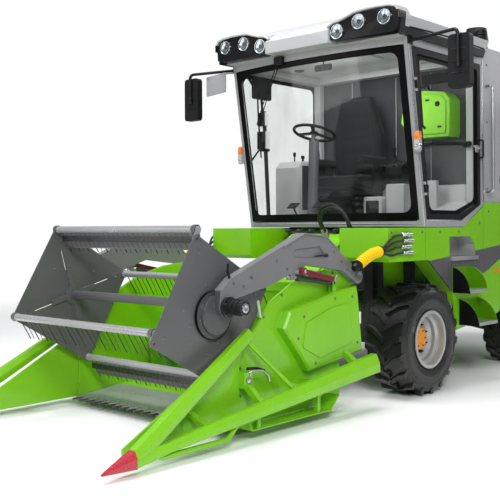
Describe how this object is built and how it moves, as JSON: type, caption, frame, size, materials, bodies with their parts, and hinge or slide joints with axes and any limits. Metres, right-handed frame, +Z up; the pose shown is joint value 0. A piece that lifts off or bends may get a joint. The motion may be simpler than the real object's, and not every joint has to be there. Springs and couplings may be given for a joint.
{
  "type": "small combine harvester",
  "caption": "Small cab combine harvester with a narrow header: tined reel, auger, feeder house, threshing body, driven front wheels and steered rear wheels.",
  "frame": {"origin": "On the ground, at the middle of the machine's length and width, under the middle of the front axle", "axes": "X to the machine's left, Y to its rear, Z up"},
  "size_m": [2.964, 6.192, 3.078],
  "materials": {
    "green_paint": "gloss",
    "dark_grey_paint": "semi-gloss",
    "pale_grey_paint": "semi-gloss",
    "mid_grey_paint": "semi-gloss",
    "roof_white": "satin",
    "black_plastic": "matte",
    "tyre_black": "matte",
    "rim_silver": "gloss",
    "clear_glass": "polished",
    "lamp_glass": "polished",
    "orange_lens": "gloss",
    "seat_cloth": "woven",
    "bright_steel": "brushed",
    "cast_grey": "cast",
    "red_paint": "gloss"
  },
  "bodies": {
    "machine": {"axles": "cast_grey", "chassis": "dark_grey_paint", "threshing_housing": "green_paint", "engine_block": "cast_grey", "side_panels": "green_paint", "upper_housing": "pale_grey_paint", "straw_hood": "green_paint", "cab_frame": "mid_grey_paint", "cab_glass": "clear_glass", "cab_roof": "roof_white", "lamp_pods": "black_plastic", "work_lamps": "lamp_glass", "indicator_lamps": "orange_lens", "seat_base": "black_plastic", "seat_pads": "seat_cloth", "cab_controls": "mid_grey_paint", "mirrors": "black_plastic", "steps": "bright_steel", "grab_rail": "bright_steel", "engine_pipes": "black_plastic"},
    "wheel_front_left": {"tyre_front_left": "tyre_black", "rim_front_left": "rim_silver"},
    "wheel_front_right": {"tyre_front_right": "tyre_black", "rim_front_right": "rim_silver"},
    "knuckle_left_body": {"knuckle_left": "cast_grey"},
    "knuckle_right_body": {"knuckle_right": "cast_grey"},
    "wheel_rear_left": {"tyre_rear_left": "tyre_black", "rim_rear_left": "rim_silver"},
    "wheel_rear_right": {"tyre_rear_right": "tyre_black", "rim_rear_right": "rim_silver"},
    "steering_wheel_body": {"steering_wheel": "black_plastic"},
    "door": {"cab_door": "mid_grey_paint", "door_glass": "clear_glass"},
    "hood": {"engine_hood": "pale_grey_paint"},
    "header": {"feeder_house": "green_paint", "header_table": "green_paint", "header_sides": "green_paint", "dividers": "green_paint", "divider_tips": "red_paint", "cutter_bar": "bright_steel"},
    "auger": {"header_auger": "green_paint"},
    "arms": {"reel_arms": "dark_grey_paint"},
    "reel": {"reel_frame": "dark_grey_paint"},
    "control": {"control_plate": "dark_grey_paint"},
    "tie_rod_body": {"tie_rod": "cast_grey"},
    "bat_1": {"reel_bat_1": "bright_steel"},
    "bat_2": {"reel_bat_2": "bright_steel"},
    "bat_3": {"reel_bat_3": "bright_steel"},
    "bat_4": {"reel_bat_4": "bright_steel"},
    "lift_barrel": {"lift_barrels": "dark_grey_paint"},
    "lift_rod": {"lift_rods": "bright_steel"},
    "reel_barrel": {"reel_barrels": "dark_grey_paint"},
    "reel_rod": {"reel_rods": "bright_steel"}
  },
  "joints": [
    {"name": "front_left_spin", "type": "hinge", "parent": "machine", "child": "wheel_front_left", "pos_m": [0, 0, 0.425], "axis": [1, 0, 0], "continuous": true},
    {"name": "front_right_spin", "type": "hinge", "parent": "machine", "child": "wheel_front_right", "pos_m": [0, 0, 0.425], "axis": [1, 0, 0], "continuous": true},
    {"name": "steer_left", "type": "hinge", "parent": "machine", "child": "knuckle_left_body", "pos_m": [0.52, 1.96, 0.335], "axis": [0, 0, 1], "range_deg": [-30, 30]},
    {"name": "steer_right", "type": "hinge", "parent": "machine", "child": "knuckle_right_body", "pos_m": [-0.52, 1.96, 0.335], "axis": [0, 0, 1], "range_deg": [-30.01, 30.01]},
    {"name": "rear_left_spin", "type": "hinge", "parent": "knuckle_left_body", "child": "wheel_rear_left", "pos_m": [0, 1.96, 0.335], "axis": [1, 0, 0], "continuous": true},
    {"name": "rear_right_spin", "type": "hinge", "parent": "knuckle_right_body", "child": "wheel_rear_right", "pos_m": [0, 1.96, 0.335], "axis": [1, 0, 0], "continuous": true},
    {"name": "steering_wheel_turn", "type": "hinge", "parent": "machine", "child": "steering_wheel_body", "pos_m": [-0.25, 0.15, 2.11], "axis": [0, 0.3048, 0.9524], "range_deg": [-540.1, 540.1]},
    {"name": "cab_door_swing", "type": "hinge", "parent": "machine", "child": "door", "pos_m": [0.927, -0.00373, 2], "axis": [0, 0.1561, -0.9877], "range_deg": [0, 75]},
    {"name": "engine_hood_lift", "type": "hinge", "parent": "machine", "child": "hood", "pos_m": [0, 1.904, 2.864], "axis": [-1, 0, 0], "range_deg": [0, 60]},
    {"name": "header_lift", "type": "hinge", "parent": "machine", "child": "header", "pos_m": [0, -0.06, 1.09], "axis": [-1, 0, 0], "range_deg": [0, 20]},
    {"name": "auger_spin", "type": "hinge", "parent": "header", "child": "auger", "pos_m": [0, -1.23, 0.375], "axis": [1, 0, 0], "continuous": true},
    {"name": "reel_arm_lift", "type": "hinge", "parent": "header", "child": "arms", "pos_m": [0, -0.73, 0.94], "axis": [-1, 0, 0], "range_deg": [-2, 18]},
    {"name": "reel_spin", "type": "hinge", "parent": "arms", "child": "reel", "pos_m": [0, -2.077, 0.819], "axis": [1, 0, 0], "continuous": true},
    {"name": "tie_rod_turn", "type": "hinge", "parent": "knuckle_left_body", "child": "tie_rod_body", "pos_m": [0.52, 2.11, 0.291], "axis": [0, 0, 1], "range_deg": [-30.01, 30.01]},
    {"name": "control_plate_spin", "type": "hinge", "parent": "arms", "child": "control", "pos_m": [0, -2.107, 0.766], "axis": [1, 0, 0], "continuous": true},
    {"name": "bat_1_tilt", "type": "hinge", "parent": "reel", "child": "bat_1", "pos_m": [0, -2.54332, 0.69318], "axis": [1, 0, 0], "continuous": true},
    {"name": "bat_2_tilt", "type": "hinge", "parent": "reel", "child": "bat_2", "pos_m": [0, -2.20282, 1.28532], "axis": [1, 0, 0], "continuous": true},
    {"name": "bat_3_tilt", "type": "hinge", "parent": "reel", "child": "bat_3", "pos_m": [0, -1.61068, 0.94482], "axis": [1, 0, 0], "continuous": true},
    {"name": "bat_4_tilt", "type": "hinge", "parent": "reel", "child": "bat_4", "pos_m": [0, -1.95118, 0.35268], "axis": [1, 0, 0], "continuous": true},
    {"name": "lift_barrel_tilt", "type": "hinge", "parent": "machine", "child": "lift_barrel", "pos_m": [0, -0.16, 0.43], "axis": [-1, 0, 0], "range_deg": [0, 19.23]},
    {"name": "lift_rod_slide", "type": "slide", "parent": "lift_barrel", "child": "lift_rod", "axis": [0, -0.999, 0.0458], "range_m": [0, 0.23165]},
    {"name": "reel_barrel_tilt", "type": "hinge", "parent": "header", "child": "reel_barrel", "pos_m": [0, -1, 0.905], "axis": [-1, 0, 0], "range_deg": [-3.04, 27.28]},
    {"name": "reel_rod_slide", "type": "slide", "parent": "reel_barrel", "child": "reel_rod", "axis": [0, -0.9903, 0.1386], "range_m": [-0.00445, 0.03841]}
  ],
  "couplings": [
    {"joint": "steer_right", "follows": "steer_left", "ratio": 1},
    {"joint": "steering_wheel_turn", "follows": "steer_left", "ratio": -18},
    {"joint": "lift_barrel_tilt", "follows": "header_lift", "ratio": 0.96078},
    {"joint": "lift_rod_slide", "follows": "header_lift", "m_per_rad": 0.66305},
    {"joint": "reel_barrel_tilt", "follows": "reel_arm_lift", "ratio": 1.5147},
    {"joint": "reel_rod_slide", "follows": "reel_arm_lift", "m_per_rad": 0.12163},
    {"joint": "tie_rod_turn", "follows": "steer_left", "ratio": -1},
    {"joint": "control_plate_spin", "follows": "reel_spin", "ratio": 1},
    {"joint": "bat_1_tilt", "follows": "reel_spin", "ratio": -1},
    {"joint": "bat_2_tilt", "follows": "reel_spin", "ratio": -1},
    {"joint": "bat_3_tilt", "follows": "reel_spin", "ratio": -1},
    {"joint": "bat_4_tilt", "follows": "reel_spin", "ratio": -1}
  ]
}
